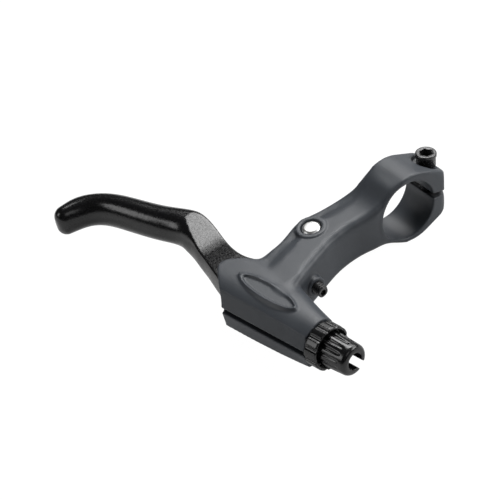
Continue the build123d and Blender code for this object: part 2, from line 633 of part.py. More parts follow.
with BuildPart() as pivot_pin:
    # Turned pin: a bevelled head in the upper pocket, a plain shank, and a groove for the clip below
    pin_end = -PIN_BOSS_BOTTOM - CLIP_THICKNESS - PIN_TAIL
    with BuildSketch(pivot_plane.offset(pin_end)):
        Circle(PIN_R)
    extrude(amount=pin_seat - pin_end)
    with BuildSketch(pivot_plane.offset(pin_seat)):
        Circle(PIN_HEAD_R)
    extrude(amount=PIN_HEAD_HEIGHT)
    with BuildSketch(pivot_plane.offset(pin_seat + PIN_HEAD_HEIGHT)):
        Circle(PIN_HEAD_R)
    with BuildSketch(pivot_plane.offset(PIN_BOSS_TOP)):
        Circle(PIN_HEAD_R - PIN_BEVEL_WIDTH)
    loft()
    with BuildSketch(pivot_plane.offset(-PIN_BOSS_BOTTOM)):
        Circle(PIN_DIAMETER)
        Circle(PIN_R - CLIP_GROOVE_DEPTH, mode=Mode.SUBTRACT)
    extrude(amount=-CLIP_THICKNESS - RUNNING_FIT, mode=Mode.SUBTRACT)
    chamfer(pivot_pin.edges().sort_by(Axis.Z)[0], CLIP_GROOVE_DEPTH)
pivot_pin.part.label = "pivot_pin"
export_step(pivot_pin.part, "parts/pivot_pin.step")

with BuildPart() as pivot_clip:
    # Pressed spring clip: an open band with three lugs in the pin's groove
    with BuildSketch(pivot_plane.offset(-PIN_BOSS_BOTTOM)):
        Circle(CLIP_R)
        Circle(CLIP_R - CLIP_BAND, mode=Mode.SUBTRACT)
        with PolarLocations(PIN_R - CLIP_GROOVE_DEPTH, 3, start_angle=180, angular_range=180, endpoint=True):
            Rectangle(CLIP_RIM, CLIP_LUG, align=(Align.MIN, Align.CENTER))
        Circle(PIN_R - CLIP_GROOVE_DEPTH + SEAT_FIT, mode=Mode.SUBTRACT)
        Rectangle(PIN_DIAMETER - CLIP_MOUTH_GRIP, TALL, align=(Align.CENTER, Align.MIN), mode=Mode.SUBTRACT)
    extrude(amount=-CLIP_THICKNESS)
pivot_clip.part.label = "pivot_clip"
export_step(pivot_clip.part, "parts/pivot_clip.step")

with BuildPart() as clamp_bolt:
    # Socket-head bolt, threaded into the lower half of the clamp
    with BuildSketch(bolt_plane.offset(BOLT_SEAT)):
        Circle(BOLT_R)
    extrude(amount=-BOLT_LENGTH)
    with BuildSketch(bolt_plane.offset(BOLT_SEAT)):
        Circle(BOLT_HEAD_DIAMETER / 2)
    extrude(amount=BOLT_HEAD_HEIGHT)
    fillet(clamp_bolt.faces().sort_by(Axis.Z)[-1].edges(), BOLT_HEAD_EDGE)
    with BuildSketch(bolt_plane.offset(BOLT_SEAT + BOLT_HEAD_HEIGHT)):
        RegularPolygon(BOLT_HEX / 2, 6, major_radius=False)
    extrude(amount=-BOLT_HEX_DEPTH, mode=Mode.SUBTRACT)
clamp_bolt.part.label = "clamp_bolt"
export_step(clamp_bolt.part, "parts/clamp_bolt.step")

with BuildPart() as reach_screw:
    # Headless socket screw through the neck's inboard wall, its tip just clear of the blade's arm
    with BuildSketch(Plane(origin=(reach_tip, -REACH_AHEAD, 0), x_dir=(0, 1, 0), z_dir=(1, 0, 0))):
        Circle(REACH_R)
    extrude(amount=reach_end - reach_tip)
    chamfer(reach_screw.edges(), REACH_EDGE)
    with BuildSketch(Plane(origin=(reach_end, -REACH_AHEAD, 0), x_dir=(0, 1, 0), z_dir=(1, 0, 0))):
        RegularPolygon(REACH_HEX / 2, 6, major_radius=False)
    extrude(amount=-REACH_HEX_DEPTH, mode=Mode.SUBTRACT)
reach_screw.part.label = "reach_screw"
export_step(reach_screw.part, "parts/reach_screw.step")

with BuildPart() as barrel_adjuster:
    # Turned barrel: a shank in the head's thread, a tapered grip, and a stepped bore for the cable's housing
    with BuildSketch(head_plane) as profile:
        grip_end = (barrel_end, BARREL_END_R)
        with BuildLine():
            Polyline(
                (thread_start, CABLE_R),
                (thread_start, THREAD_R),
                (body_start, THREAD_R),
                (body_start, BARREL_R),
                grip_end,
                (barrel_end, HOUSING_R),
                (barrel_end - HOUSING_DEPTH, HOUSING_R),
                (barrel_end - HOUSING_DEPTH, CABLE_R),
                close=True,
            )
        make_face()
        end_round = min(BARREL_ROUND, (BARREL_END_R - HOUSING_R) * 0.75)
        fillet(profile.vertices().sort_by_distance((*grip_end, 0))[0], end_round)
    revolve(axis=barrel_axis)
    # Grip flutes with round ends
    with BuildSketch(across_barrel(body_start - BARREL_GAP)):
        with PolarLocations(BARREL_R, FLUTES):
            Circle(FLUTE_RADIUS)
    extrude(amount=BARREL_LENGTH - FLUTE_MARGIN, mode=Mode.SUBTRACT)
    with Locations(across_barrel(barrel_end - FLUTE_MARGIN - BARREL_GAP)):
        with PolarLocations(BARREL_R, FLUTES):
            Sphere(FLUTE_RADIUS, mode=Mode.SUBTRACT)
    # Slot that lets the cable in sideways
    with BuildSketch(across_barrel(thread_start - BARREL_GAP, BARREL_SLOT_TURN)):
        Rectangle(TALL, BARREL_SLOT, align=(Align.MIN, Align.CENTER))
    extrude(amount=TALL, mode=Mode.SUBTRACT)
barrel_adjuster.part.label = "barrel_adjuster"
export_step(barrel_adjuster.part, "parts/barrel_adjuster.step")

with BuildPart() as lock_ring:
    # Lobed ring that locks the barrel against the head; its front is recessed round the barrel's grip
    with BuildSketch(across_barrel(ring_start)):
        Circle(RING_R)
        Circle(THREAD_R + RUNNING_FIT, mode=Mode.SUBTRACT)
    extrude(amount=RING_LENGTH)
    fillet(lock_ring.edges().group_by(Edge.length)[-1], RING_EDGE)
    with BuildSketch(across_barrel(ring_end)):
        Circle(RING_RECESS_R)
    extrude(amount=-RING_RECESS_DEPTH, mode=Mode.SUBTRACT)
    with BuildSketch(across_barrel(ring_start)):
        with PolarLocations(RING_R + RING_GROOVE_RADIUS - RING_GROOVE_DEPTH, RING_LOBES):
            Circle(RING_GROOVE_RADIUS)
    extrude(amount=RING_LENGTH, mode=Mode.SUBTRACT)
    with BuildSketch(across_barrel(ring_start, RING_SLOT_TURN)):
        Rectangle(TALL, BARREL_SLOT, align=(Align.MIN, Align.CENTER))
    extrude(amount=RING_LENGTH, mode=Mode.SUBTRACT)
lock_ring.part.label = "lock_ring"
export_step(lock_ring.part, "parts/lock_ring.step")
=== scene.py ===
import json
from math import atan2, cos, pi, radians, sin

import bmesh
import bpy
import numpy as np
from mathutils import Matrix, Vector


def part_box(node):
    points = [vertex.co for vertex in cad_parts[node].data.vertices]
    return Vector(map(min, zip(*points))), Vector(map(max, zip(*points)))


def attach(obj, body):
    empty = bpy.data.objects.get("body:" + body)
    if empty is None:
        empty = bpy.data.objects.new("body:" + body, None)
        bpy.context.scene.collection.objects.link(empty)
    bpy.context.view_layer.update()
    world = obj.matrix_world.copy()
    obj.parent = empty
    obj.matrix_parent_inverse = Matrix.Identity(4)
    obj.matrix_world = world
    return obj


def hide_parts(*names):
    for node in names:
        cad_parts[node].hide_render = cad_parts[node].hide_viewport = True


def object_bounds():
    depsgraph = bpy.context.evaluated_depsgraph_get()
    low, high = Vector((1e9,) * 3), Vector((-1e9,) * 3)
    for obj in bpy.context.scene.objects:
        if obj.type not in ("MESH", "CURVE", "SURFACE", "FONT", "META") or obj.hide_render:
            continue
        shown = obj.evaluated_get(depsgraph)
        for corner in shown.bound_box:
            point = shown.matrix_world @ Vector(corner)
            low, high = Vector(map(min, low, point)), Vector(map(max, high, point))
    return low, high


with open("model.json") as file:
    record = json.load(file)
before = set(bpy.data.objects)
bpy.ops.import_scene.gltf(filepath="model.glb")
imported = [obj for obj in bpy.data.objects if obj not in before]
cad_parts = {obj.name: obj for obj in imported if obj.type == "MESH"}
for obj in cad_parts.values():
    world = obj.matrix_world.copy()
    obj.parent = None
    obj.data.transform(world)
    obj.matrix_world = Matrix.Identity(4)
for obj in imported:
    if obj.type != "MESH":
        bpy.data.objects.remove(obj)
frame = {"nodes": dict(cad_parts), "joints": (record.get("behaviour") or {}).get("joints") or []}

cad_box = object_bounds()

# Perch: one aluminium casting that clamps the handlebar and carries the blade, the barrel and the screws.
# It is tumbled until its edges are soft, then painted in a satin charcoal that keeps a trace of the cast
# skin, and painted shade darkens its colour in its slot and corners.
MM = 0.001
WELD = 0.002 * MM
SKIN_BUDGET = 180_000  # triangles
CAST_GRAIN = 0.28 * MM
CAST_EASE = 4
BORE_R = 11.1 * MM  # the bar's bore and its lip keep their shape
BORE_LIP = 1.5 * MM
BLEND_PASSES = 100
BLEND_FALL = 1.5  # a blend has its full strength over the inner third of its reach
# Middle and reach in millimetres, and strength. They follow the neck's foot on the head, its inboard and
# outboard crests, the ring over and under the neck, and the clamp's ear.
CAST_BLENDS = [
    ((-5.0, -52.6, 7.3), 6.0, 0.5),
    ((3.9, -53.8, 8.1), 6.0, 0.5),
    ((12.8, -55.0, 8.1), 6.0, 0.5),
    ((9.7, -43.6, 7.5), 5.0, 0.4),
    ((8.6, -38.0, 7.6), 5.0, 0.4),
    ((6.8, -31.0, 7.6), 5.0, 0.4),
    ((6.0, -24.0, 7.7), 5.0, 0.4),
    ((6.5, -17.0, 8.4), 5.0, 0.4),
    ((-1.1, -50.0, 7.6), 4.0, 0.5),
    ((-2.5, -44.0, 7.6), 4.0, 0.5),
    ((-4.6, -22.0, 7.6), 4.0, 0.5),
    ((-4.6, -17.0, 7.8), 4.0, 0.5),
    ((4.7, -5.5, 12.3), 6.0, 0.7),
    ((0.0, -5.5, 12.3), 5.0, 0.7),
    ((-4.4, -5.5, 12.3), 5.0, 0.7),
    ((7.0, -9.5, -9.5), 7.0, 0.8),
    ((7.5, 16.0, 8.0), 5.0, 0.5),
    ((7.5, 16.0, -6.5), 5.0, 0.4),
]
CHARCOAL = (0.043, 0.049, 0.058, 1)
CHARCOAL_WORN = (0.051, 0.058, 0.068, 1)
CHARCOAL_SATIN = 0.45
CLOUD = 6.0 * MM
CLOUD_START = 0.35
CLOUD_FULL = 0.75
# Painted shade: the paint's colour is darkened in the slot, creases and corners, over this reach
CORNER_SHADE = 4.0 * MM
PAINTED_SHADE_RAYS = 16
PEEL = 0.35 * MM
PEEL_DEPTH = 0.03 * MM
PEEL_STRENGTH = 0.12
GRAIN_SHARE = 0.5  # a grain is about half as wide as a cell of the noise
NOISE_ROUGHNESS = 0.6


def points(mesh):
    """A mesh's points as rows of X, Y and Z."""
    place = np.empty(len(mesh.vertices) * 3)
    mesh.vertices.foreach_get("co", place)
    return place.reshape(-1, 3)


def move_points(mesh, place):
    mesh.vertices.foreach_set("co", place.ravel())
    mesh.update()


def ease(mesh, passes, share=0.5):
    """Rounds a fine mesh: each pass draws every point part of the way to the middle of its neighbours."""
    place = points(mesh)
    count = len(place)
    edges = np.empty(len(mesh.edges) * 2, int)
    mesh.edges.foreach_get("vertices", edges)
    one, other = edges.reshape(-1, 2).T
    links = np.bincount(one, minlength=count) + np.bincount(other, minlength=count)
    for _ in range(passes):
        middle = np.empty_like(place)
        for axis in range(3):
            near = np.bincount(one, place[other, axis], count) + np.bincount(other, place[one, axis], count)
            middle[:, axis] = near / links
        place += (middle - place) * np.reshape(share, (-1, 1))
    move_points(mesh, place)


def blend(mesh, blends):
    """Eases a casting's edges further, round each blend's middle."""
    place = points(mesh)
    pull = np.zeros(len(place))
    for middle, reach, most in blends:
        away = np.linalg.norm(place - np.array(middle) * MM, axis=1) / (reach * MM)
        pull = np.maximum(pull, most * np.clip(BLEND_FALL * (1 - away), 0, 1))
    from_bore = np.hypot(place[:, 1], place[:, 2]) - BORE_R
    pull *= np.clip(from_bore / BORE_LIP, 0, 1)
    ease(mesh, BLEND_PASSES, pull)


def placed(name, data):
    """A new object in the scene."""
    made = bpy.data.objects.new(name, data)
    bpy.context.scene.collection.objects.link(made)
    return made


def settle(piece):
    """Keeps what a piece's modifiers make of it as its plain mesh."""
    settled = piece.evaluated_get(bpy.context.evaluated_depsgraph_get())
    piece.data = bpy.data.meshes.new_from_object(settled)
    piece.modifiers.clear()


def shape_through(piece, kind, **settings):
    """Runs one modifier on a piece and keeps the result."""
    modifier = piece.modifiers.new(kind.lower(), kind)
    for key, value in settings.items():
        setattr(modifier, key, value)
    settle(piece)


def softened(node, name, grain, passes, blends=(), lie=0.0):
    """A new piece with a node's form on a fine skin, whose edges are all eased.

    The skin is laid along X, after the form has been turned back by the angle it lies at.
    """
    mesh = frame["nodes"][node].data.copy()
    mesh.transform(Matrix.Rotation(-lie, 4, "Z"))
    shell = bmesh.new()
    shell.from_mesh(mesh)
    bmesh.ops.remove_doubles(shell, verts=shell.verts, dist=WELD)
    shell.to_mesh(mesh)
    shell.free()
    piece = placed(name, mesh)
    shape_through(piece, "REMESH", mode="VOXEL", voxel_size=grain, use_smooth_shade=True)
    piece.data.materials.clear()
    ease(piece.data, passes)
    if blends:
        blend(piece.data, blends)
    triangles = len(piece.data.polygons) * 2
    if triangles > SKIN_BUDGET:
        shape_through(piece, "DECIMATE", ratio=SKIN_BUDGET / triangles)
    piece.data.transform(Matrix.Rotation(lie, 4, "Z"))
    return piece


class Finish:
    """A material in the making: its plain values, and the patterns that are laid over the piece."""

    def __init__(self, name, colour, metallic=0.0, specular=0.5):
        self.material = bpy.data.materials.new(name)
        self.material.use_nodes = True
        self.tree = self.material.node_tree
        self.sockets = self.tree.nodes["Principled BSDF"].inputs
        self.sockets["Base Color"].default_value = colour
        self.sockets["Metallic"].default_value = metallic
        self.sockets["Specular IOR Level"].default_value = specular
        self.place = self.add("ShaderNodeTexCoord").outputs["Object"]

    def add(self, kind, links=(), **values):
        """A new node with its sockets linked and its values set."""
        node = self.tree.nodes.new(kind)
        for key, value in values.items():
            if key in node.inputs:
                node.inputs[key].default_value = value
            else:
                setattr(node, key, value)
        for socket, source in links:
            self.tree.links.new(source, node.inputs[socket])
        return node

    def speckle(self, size, detail=3.0, place=None):
        """Noise whose grains are about the given size across."""
        noise = self.add(
            "ShaderNodeTexNoise",
            [("Vector", self.place if place is None else place)],
            Scale=GRAIN_SHARE / size,
            Detail=detail,
            Roughness=NOISE_ROUGHNESS,
        )
        return noise.outputs["Fac"]

    def sheen(self, pattern, low, high, start=0.0, full=1.0):
        """Roughness that goes from low to high as a pattern goes from start to full."""
        spread = self.add("ShaderNodeMapRange", [("Value", pattern)])
        limits = {"From Min": start, "From Max": full, "To Min": low, "To Max": high}
        for socket, limit in limits.items():
            spread.inputs[socket].default_value = limit
        self.tree.links.new(spread.outputs["Result"], self.sockets["Roughness"])

    def skin(self, pattern, depth, strength):
        """A fine relief that follows a pattern."""
        relief = self.add("ShaderNodeBump", [("Height", pattern)], Strength=strength, Distance=depth)
        self.tree.links.new(relief.outputs["Normal"], self.sockets["Normal"])


def charcoal_paint():
    finish = Finish("charcoal_paint", CHARCOAL)
    finish.sockets["Roughness"].default_value = CHARCOAL_SATIN
    tint = finish.add("ShaderNodeValToRGB", [("Fac", finish.speckle(CLOUD))])
    fresh, worn = tint.color_ramp.elements
    fresh.color = CHARCOAL
    fresh.position = CLOUD_START
    worn.color = CHARCOAL_WORN
    worn.position = CLOUD_FULL
    # Painted shade: an occlusion node darkens the paint's colour where the casting's own faces crowd round,
    # in the slot, the pocket and the corners
    corners = finish.add(
        "ShaderNodeAmbientOcclusion",
        [("Color", tint.outputs["Color"])],
        only_local=True,
        samples=PAINTED_SHADE_RAYS,
        Distance=CORNER_SHADE,
    )
    finish.tree.links.new(corners.outputs["Color"], finish.sockets["Base Color"])
    finish.skin(finish.speckle(PEEL), PEEL_DEPTH, PEEL_STRENGTH)
    return finish.material


perch = softened("perch", "perch_casting", CAST_GRAIN, CAST_EASE, CAST_BLENDS)
perch.data.materials.append(charcoal_paint())
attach(perch, "perch")
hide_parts("perch")

# Blade: an aluminium forging with a flat crank and a two-finger oval grip that ends in a hook.
# It is blasted and powder coated in a black whose fine grain glints where light strikes it.
FORGED_GRAIN = 0.26 * MM
FORGED_EASE = 5
CRANK_ROOT = -24.0 * MM  # the crank's and the hollow's ends are places along X
CRANK_ELBOW = -43.5 * MM
HOLLOW_END = -27.5 * MM
CRANK_HALF = 5.0 * MM
GRIP_HALF = 6.5 * MM
HOLLOW_SINK = 0.3 * MM
HOLLOW_ROUND = 1.2 * MM
HOLLOW_CLOSE = 8.0 * MM
COAT_BLACK = (0.006, 0.006, 0.0065, 1)
COAT_GRAIN = 0.36 * MM
COAT_DETAIL = 2.0
COAT_START = 0.3
COAT_FULL = 0.7
COAT_SHEEN = (0.15, 0.29)
COAT_DEPTH = 0.05 * MM
COAT_STRENGTH = 0.45


def dish_crank(mesh):
    """Hollows the crank above and below: flat from its root, then rising to the grip in a soft bend.

    Heights are scaled from the straight taper of the CAD node to that line. The hollow closes again over
    a short run inside the perch.
    """
    forged = points(mesh)
    along = forged[:, 0]
    flare = GRIP_HALF - CRANK_HALF
    run = np.clip(along, CRANK_ELBOW, CRANK_ROOT)
    straight = CRANK_HALF + flare * (CRANK_ROOT - run) / (CRANK_ROOT - CRANK_ELBOW)
    ramp = np.logaddexp(0, (HOLLOW_END - run) / HOLLOW_ROUND) * HOLLOW_ROUND
    sink = HOLLOW_SINK * np.clip((CRANK_ROOT + HOLLOW_CLOSE - along) / HOLLOW_CLOSE, 0, 1)
    hollow = CRANK_HALF - sink + (flare + HOLLOW_SINK) * ramp / (HOLLOW_END - CRANK_ELBOW)
    forged[:, 2] *= hollow / straight
    move_points(mesh, forged)


def grained_black():
    finish = Finish("grained_black", COAT_BLACK)
    grain = finish.speckle(COAT_GRAIN, detail=COAT_DETAIL)
    finish.sheen(grain, *COAT_SHEEN, COAT_START, COAT_FULL)
    finish.skin(grain, COAT_DEPTH, COAT_STRENGTH)
    return finish.material


blade = softened("lever_blade", "blade_forging", FORGED_GRAIN, FORGED_EASE)
dish_crank(blade.data)
blade.data.materials.append(grained_black())
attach(blade, "lever")
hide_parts("lever_blade")

# Bushes: two flanged sleeves of moulded bearing plastic, pressed into the blade's eye from above and below.
# They line the bore for the pin and keep the blade off the walls of its slot.
BUSH_BLACK = (0.03, 0.03, 0.03, 1)
BUSH_MATT = 0.45
BUSH_FLOW = 0.5 * MM
BUSH_DEPTH = 0.02 * MM
BUSH_STRENGTH = 0.08


def bearing_plastic():
    finish = Finish("bearing_plastic", BUSH_BLACK)
    finish.sockets["Roughness"].default_value = BUSH_MATT
    finish.skin(finish.speckle(BUSH_FLOW), BUSH_DEPTH, BUSH_STRENGTH)
    return finish.material


def dress(node, material):
    """Gives a node that keeps its own shape its finish."""
    for slot in frame["nodes"][node].material_slots:
        slot.material = material


bush_finish = bearing_plastic()
dress("upper_bush", bush_finish)
dress("lower_bush", bush_finish)

# Pivot pin: turned from steel rod, with a bevelled, brightly polished head in the perch's pocket.
# Its lower end has a groove for the clip that holds it.
TURN_STEPS = 96
PIN_HEAD_R = 3.25 * MM
PIN_HEAD_HEIGHT = 0.9 * MM
PIN_BEVEL = 0.55 * MM
PIN_BEVEL_WIDTH = 0.9 * MM
PIN_EDGE = 0.12 * MM
PIN_SHANK_R = 2.5 * MM
PIN_CHAMFER = 0.5 * MM
PIN_GROOVE_LIFT = 1.0 * MM
PIN_GROOVE_WIDTH = 0.65 * MM
PIN_GROOVE_DEPTH = 0.5 * MM
STEEL = (0.78, 0.78, 0.77, 1)
STEEL_WISP = 0.8 * MM
STEEL_SHEEN = (0.3, 0.44)
STEEL_DEPTH = 0.02 * MM
STEEL_STRENGTH = 0.05


def turned(name, profile, place):
    """A turned piece: radius and height pairs swept round the local Z axis, then set in place."""
    lathe = bmesh.new()
    turns = [2 * pi * step / TURN_STEPS for step in range(TURN_STEPS)]
    rings = []
    for radius, height in profile:
        if radius == 0:
            rings.append([lathe.verts.new((0, 0, height))])
        else:
            rings.append([lathe.verts.new((radius * cos(t), radius * sin(t), height)) for t in turns])
    for lower, upper in zip(rings, rings[1:]):
        for step in range(TURN_STEPS):
            after = (step + 1) % TURN_STEPS
            corners = [lower[step % len(lower)], lower[after % len(lower)]]
            corners += [upper[after % len(upper)], upper[step % len(upper)]]
            lathe.faces.new(dict.fromkeys(corners)).smooth = True
    bmesh.ops.recalc_face_normals(lathe, faces=lathe.faces)
    lathe.transform(place)
    mesh = bpy.data.meshes.new(name)
    lathe.to_mesh(mesh)
    lathe.free()
    return placed(name, mesh)


def polished_steel():
    finish = Finish("polished_steel", STEEL, metallic=1.0)
    wisp = finish.speckle(STEEL_WISP)
    finish.sheen(wisp, *STEEL_SHEEN)
    finish.skin(wisp, STEEL_DEPTH, STEEL_STRENGTH)
    return finish.material


pivot = Vector(frame["joints"][0]["pos_m"])
pin_low, pin_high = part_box("pivot_pin")
pin_shoulder = pin_high.z - PIN_BEVEL
pin_seat = pin_shoulder - PIN_HEAD_HEIGHT
pin_disc_r = PIN_HEAD_R - PIN_BEVEL_WIDTH
groove_r = PIN_SHANK_R - PIN_GROOVE_DEPTH
groove_low = pin_low.z + PIN_GROOVE_LIFT
groove_high = groove_low + PIN_GROOVE_WIDTH
pin_profile = [
    (0, pin_low.z),
    (PIN_SHANK_R - PIN_CHAMFER, pin_low.z),
    (PIN_SHANK_R, pin_low.z + PIN_CHAMFER),
    (PIN_SHANK_R, groove_low),
    (groove_r, groove_low),
    (groove_r, groove_high),
    (PIN_SHANK_R, groove_high),
    (PIN_SHANK_R, pin_seat),
    (PIN_HEAD_R - PIN_EDGE, pin_seat),
    (PIN_HEAD_R, pin_seat + PIN_EDGE),
    (PIN_HEAD_R, pin_shoulder - PIN_EDGE),
    (PIN_HEAD_R - PIN_EDGE, pin_shoulder + PIN_EDGE / 2),
    (pin_disc_r + PIN_EDGE, pin_high.z - PIN_EDGE / 2),
    (pin_disc_r - PIN_EDGE, pin_high.z),
    (0, pin_high.z),
]
pin = turned("pivot_pin_turned", pin_profile, Matrix.Translation((pivot.x, pivot.y, 0)))
pin.data.materials.append(polished_steel())
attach(pin, "perch")
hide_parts("pivot_pin")

# Pivot clip: an open band pressed from spring steel, snapped into the groove under the perch.
# It is left bare, with the dull shine of rolled strip.
STRIP = (0.36, 0.36, 0.37, 1)
STRIP_GRAIN = 1.2 * MM
STRIP_DRAWN = (1, 12, 1)  # rolling leaves the grain twelve times finer along Y
STRIP_SHEEN = (0.25, 0.5)


def spring_steel():
    finish = Finish("spring_steel", STRIP, metallic=1.0)
    rolled = finish.add("ShaderNodeMapping", [("Vector", finish.place)], Scale=STRIP_DRAWN)
    finish.sheen(finish.speckle(STRIP_GRAIN, place=rolled.outputs["Vector"]), *STRIP_SHEEN)
    return finish.material


dress("pivot_clip", spring_steel())

# Reach screw: a black headless screw through the inboard wall, whose tip sets how far the blade stands out.
# Its thread is rolled, and a hexagon socket is pressed into the end that shows.
THREAD_ROWS = 26  # to a pitch
THREAD_CREST = 0.08  # half a crest, in pitches
THREAD_FLANK = 0.3  # one flank, in pitches
NEAR_AXIS = 0.1 * MM  # the least radius to divide by
HEX_HALF = pi / 6  # half the angle that a hexagon's side spans
HEX_FLARE = 1.2  # the rim's width over the width across flats
HEX_DIP = 0.15  # the floor's dip over that width
HEX_LIP = 0.1 * MM
SCREW_PITCH = 1.0 * MM
SCREW_THREAD = 0.5 * MM
SCREW_THREAD_STOP = 0.05 * MM
SCREW_EDGE = 0.4 * MM
SCREW_HEX = 2.5 * MM
SCREW_HEX_DEPTH = 2.2 * MM
OXIDE = (0.018, 0.018, 0.019, 1)
OXIDE_SHINE = 0.7
OXIDE_WEAR = 0.4 * MM
OXIDE_SHEEN = (0.2, 0.32)
OXIDE_DEPTH = 0.02 * MM
OXIDE_STRENGTH = 0.05


def thread_tree():
    """Cuts a thread into the rows of a turned shank, which runs up the local Z axis."""
    tree = bpy.data.node_groups.new("rolled_thread", "GeometryNodeTree")
    face = tree.interface
    face.new_socket("Shank", in_out="INPUT", socket_type="NodeSocketGeometry")
    for name in ("Pitch", "Depth", "Start", "End"):
        face.new_socket(name, in_out="INPUT", socket_type="NodeSocketFloat")
    face.new_socket("Finish", in_out="INPUT", socket_type="NodeSocketMaterial")
    face.new_socket("Screw", in_out="OUTPUT", socket_type="NodeSocketGeometry")
    inside = tree.nodes.new("NodeGroupInput")
    outside = tree.nodes.new("NodeGroupOutput")

    def math(operation, *values):
        node = tree.nodes.new("ShaderNodeMath")
        node.operation = operation
        for socket, value in zip(node.inputs, values):
            if isinstance(value, (int, float)):
                socket.default_value = value
            else:
                tree.links.new(value, socket)
        return node.outputs["Value"]

    point = tree.nodes.new("GeometryNodeInputPosition")
    parts = tree.nodes.new("ShaderNodeSeparateXYZ")
    tree.links.new(point.outputs["Position"], parts.inputs["Vector"])
    x, y, z = parts.outputs
    # The wave is 0 on a crest and 0.5 in a root
    turn = math("DIVIDE", math("ARCTAN2", y, x), 2 * pi)
    wave = math("PINGPONG", math("SUBTRACT", math("DIVIDE", z, inside.outputs["Pitch"]), turn), 0.5)
    flank = math("MULTIPLY", math("SUBTRACT", wave, THREAD_CREST), 1 / THREAD_FLANK)
    flank = math("MINIMUM", math("MAXIMUM", flank, 0), 1)
    above = math("GREATER_THAN", z, inside.outputs["Start"])
    below = math("LESS_THAN", z, inside.outputs["End"])
    within = math("MULTIPLY", above, below)
    depth = math("MULTIPLY", math("MULTIPLY", flank, inside.outputs["Depth"]), within)
    radius = math("SQRT", math("ADD", math("MULTIPLY", x, x), math("MULTIPLY", y, y)))
    shrink = math("DIVIDE", depth, math("MAXIMUM", radius, NEAR_AXIS))
    away = tree.nodes.new("ShaderNodeCombineXYZ")
    tree.links.new(math("MULTIPLY", math("MULTIPLY", x, shrink), -1), away.inputs["X"])
    tree.links.new(math("MULTIPLY", math("MULTIPLY", y, shrink), -1), away.inputs["Y"])
    cut = tree.nodes.new("GeometryNodeSetPosition")
    tree.links.new(inside.outputs["Shank"], cut.inputs["Geometry"])
    tree.links.new(away.outputs["Vector"], cut.inputs["Offset"])
    realize = tree.nodes.new("GeometryNodeRealizeInstances")
    tree.links.new(cut.outputs["Geometry"], realize.inputs["Geometry"])
    paint = tree.nodes.new("GeometryNodeSetMaterial")
    tree.links.new(realize.outputs["Geometry"], paint.inputs["Geometry"])
    tree.links.new(inside.outputs["Finish"], paint.inputs["Material"])
    tree.links.new(paint.outputs["Geometry"], outside.inputs["Screw"])
    return tree


def threaded(piece, tree, **inputs):
    """Runs the thread tree on a piece and keeps the result."""
    roll = piece.modifiers.new("thread", "NODES")
    roll.node_group = tree
    for item in tree.interface.items_tree:
        if item.name in inputs:
            roll[item.identifier] = inputs[item.name]
    settle(piece)


def turn_of(vert):
    """A point's angle about the local Z axis."""
    return atan2(vert.co.y, vert.co.x)


def socketed(name, profile, across_flats, depth):
    """A turned piece with a hexagon socket in its flat top, at whose edge the profile ends."""
    half = across_flats / 2
    top = profile[-1][1]
    piece = turned(name, profile + [(half * HEX_FLARE, top), (0, top)], Matrix.Identity(4))
    head = bmesh.new()
    head.from_mesh(piece.data)
    head.verts.ensure_lookup_table()
    tip = head.verts[len(head.verts) - 1]
    rim = sorted((edge.other_vert(tip) for edge in tip.link_edges), key=turn_of)
    bmesh.ops.delete(head, geom=[tip], context="VERTS")
    rows = [rim]
    for sink in (HEX_LIP, depth):
        row = []
        for vert in rim:
            turn = turn_of(vert)
            off = (turn + HEX_HALF) % (2 * HEX_HALF) - HEX_HALF
            reach = half / cos(off)
            row.append(head.verts.new((reach * cos(turn), reach * sin(turn), top - sink)))
        rows.append(row)
    floor_tip = head.verts.new((0, 0, top - depth - across_flats * HEX_DIP))
    for outer, inner in zip(rows, rows[1:]):
        for step in range(TURN_STEPS):
            after = (step + 1) % TURN_STEPS
            head.faces.new((outer[step], outer[after], inner[after], inner[step]))
    for step in range(TURN_STEPS):
        head.faces.new((rows[-1][step], rows[-1][(step + 1) % TURN_STEPS], floor_tip))
    bmesh.ops.recalc_face_normals(head, faces=head.faces)
    head.to_mesh(piece.data)
    head.free()
    return piece


def shank_rows(radius, start, end, pitch):
    """The even rows of a shank, fine enough for its thread."""
    count = int((end - start) / pitch * THREAD_ROWS)
    return [(radius, start + (end - start) * row / count) for row in range(count + 1)]


def black_oxide():
    finish = Finish("black_oxide", OXIDE, specular=OXIDE_SHINE)
    wear = finish.speckle(OXIDE_WEAR)
    finish.sheen(wear, *OXIDE_SHEEN)
    finish.skin(wear, OXIDE_DEPTH, OXIDE_STRENGTH)
    return finish.material


oxide = black_oxide()
thread = thread_tree()
screw_low, screw_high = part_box("reach_screw")
screw_r = (screw_high.z - screw_low.z) / 2
screw_length = screw_high.x - screw_low.x
screw_profile = [(0, 0), (screw_r - SCREW_EDGE, 0)]
screw_profile += shank_rows(screw_r, SCREW_EDGE, screw_length - SCREW_EDGE / 2, SCREW_PITCH)
screw_profile += [(screw_r - SCREW_EDGE, screw_length)]
screw = socketed("reach_screw_threaded", screw_profile, SCREW_HEX, SCREW_HEX_DEPTH)
threaded(
    screw,
    thread,
    Pitch=SCREW_PITCH,
    Depth=SCREW_THREAD,
    Start=SCREW_EDGE / 2,
    End=screw_length - SCREW_THREAD_STOP,
    Finish=oxide,
)
screw_middle = (screw_low + screw_high) / 2
screw_foot = Matrix.Translation((screw_low.x, screw_middle.y, screw_middle.z))
screw.data.transform(screw_foot @ Matrix.Rotation(pi / 2, 4, "Y"))
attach(screw, "reach_screw")
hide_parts("reach_screw")

